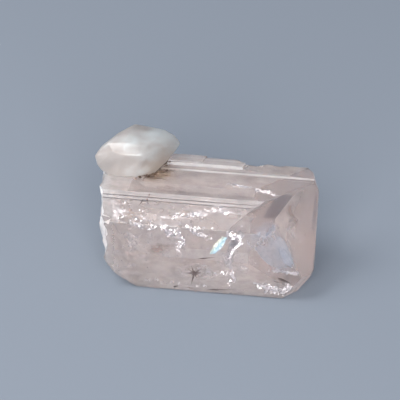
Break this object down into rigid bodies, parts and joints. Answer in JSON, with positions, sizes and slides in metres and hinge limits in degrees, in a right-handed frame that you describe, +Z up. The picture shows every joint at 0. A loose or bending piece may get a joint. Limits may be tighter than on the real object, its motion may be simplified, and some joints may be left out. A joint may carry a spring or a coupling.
{
  "type": "danburite crystal",
  "caption": "Clear, pale pink danburite prism lying on a side face, with a slanting faceted end and a smaller milky crystal grown across its broken end.",
  "frame": {"origin": "middle of the base, on the surface that the crystal lies on", "axes": "+X along the main crystal towards its faceted end, -Y towards the face seen in the picture, +Z up"},
  "size_m": [0.0342, 0.0164, 0.0194],
  "materials": {
    "danburite": "clear, pale pink, with frosted and milky zones"
  },
  "bodies": {
    "root": {"danburite_crystal": "danburite"}
  },
  "joints": []
}
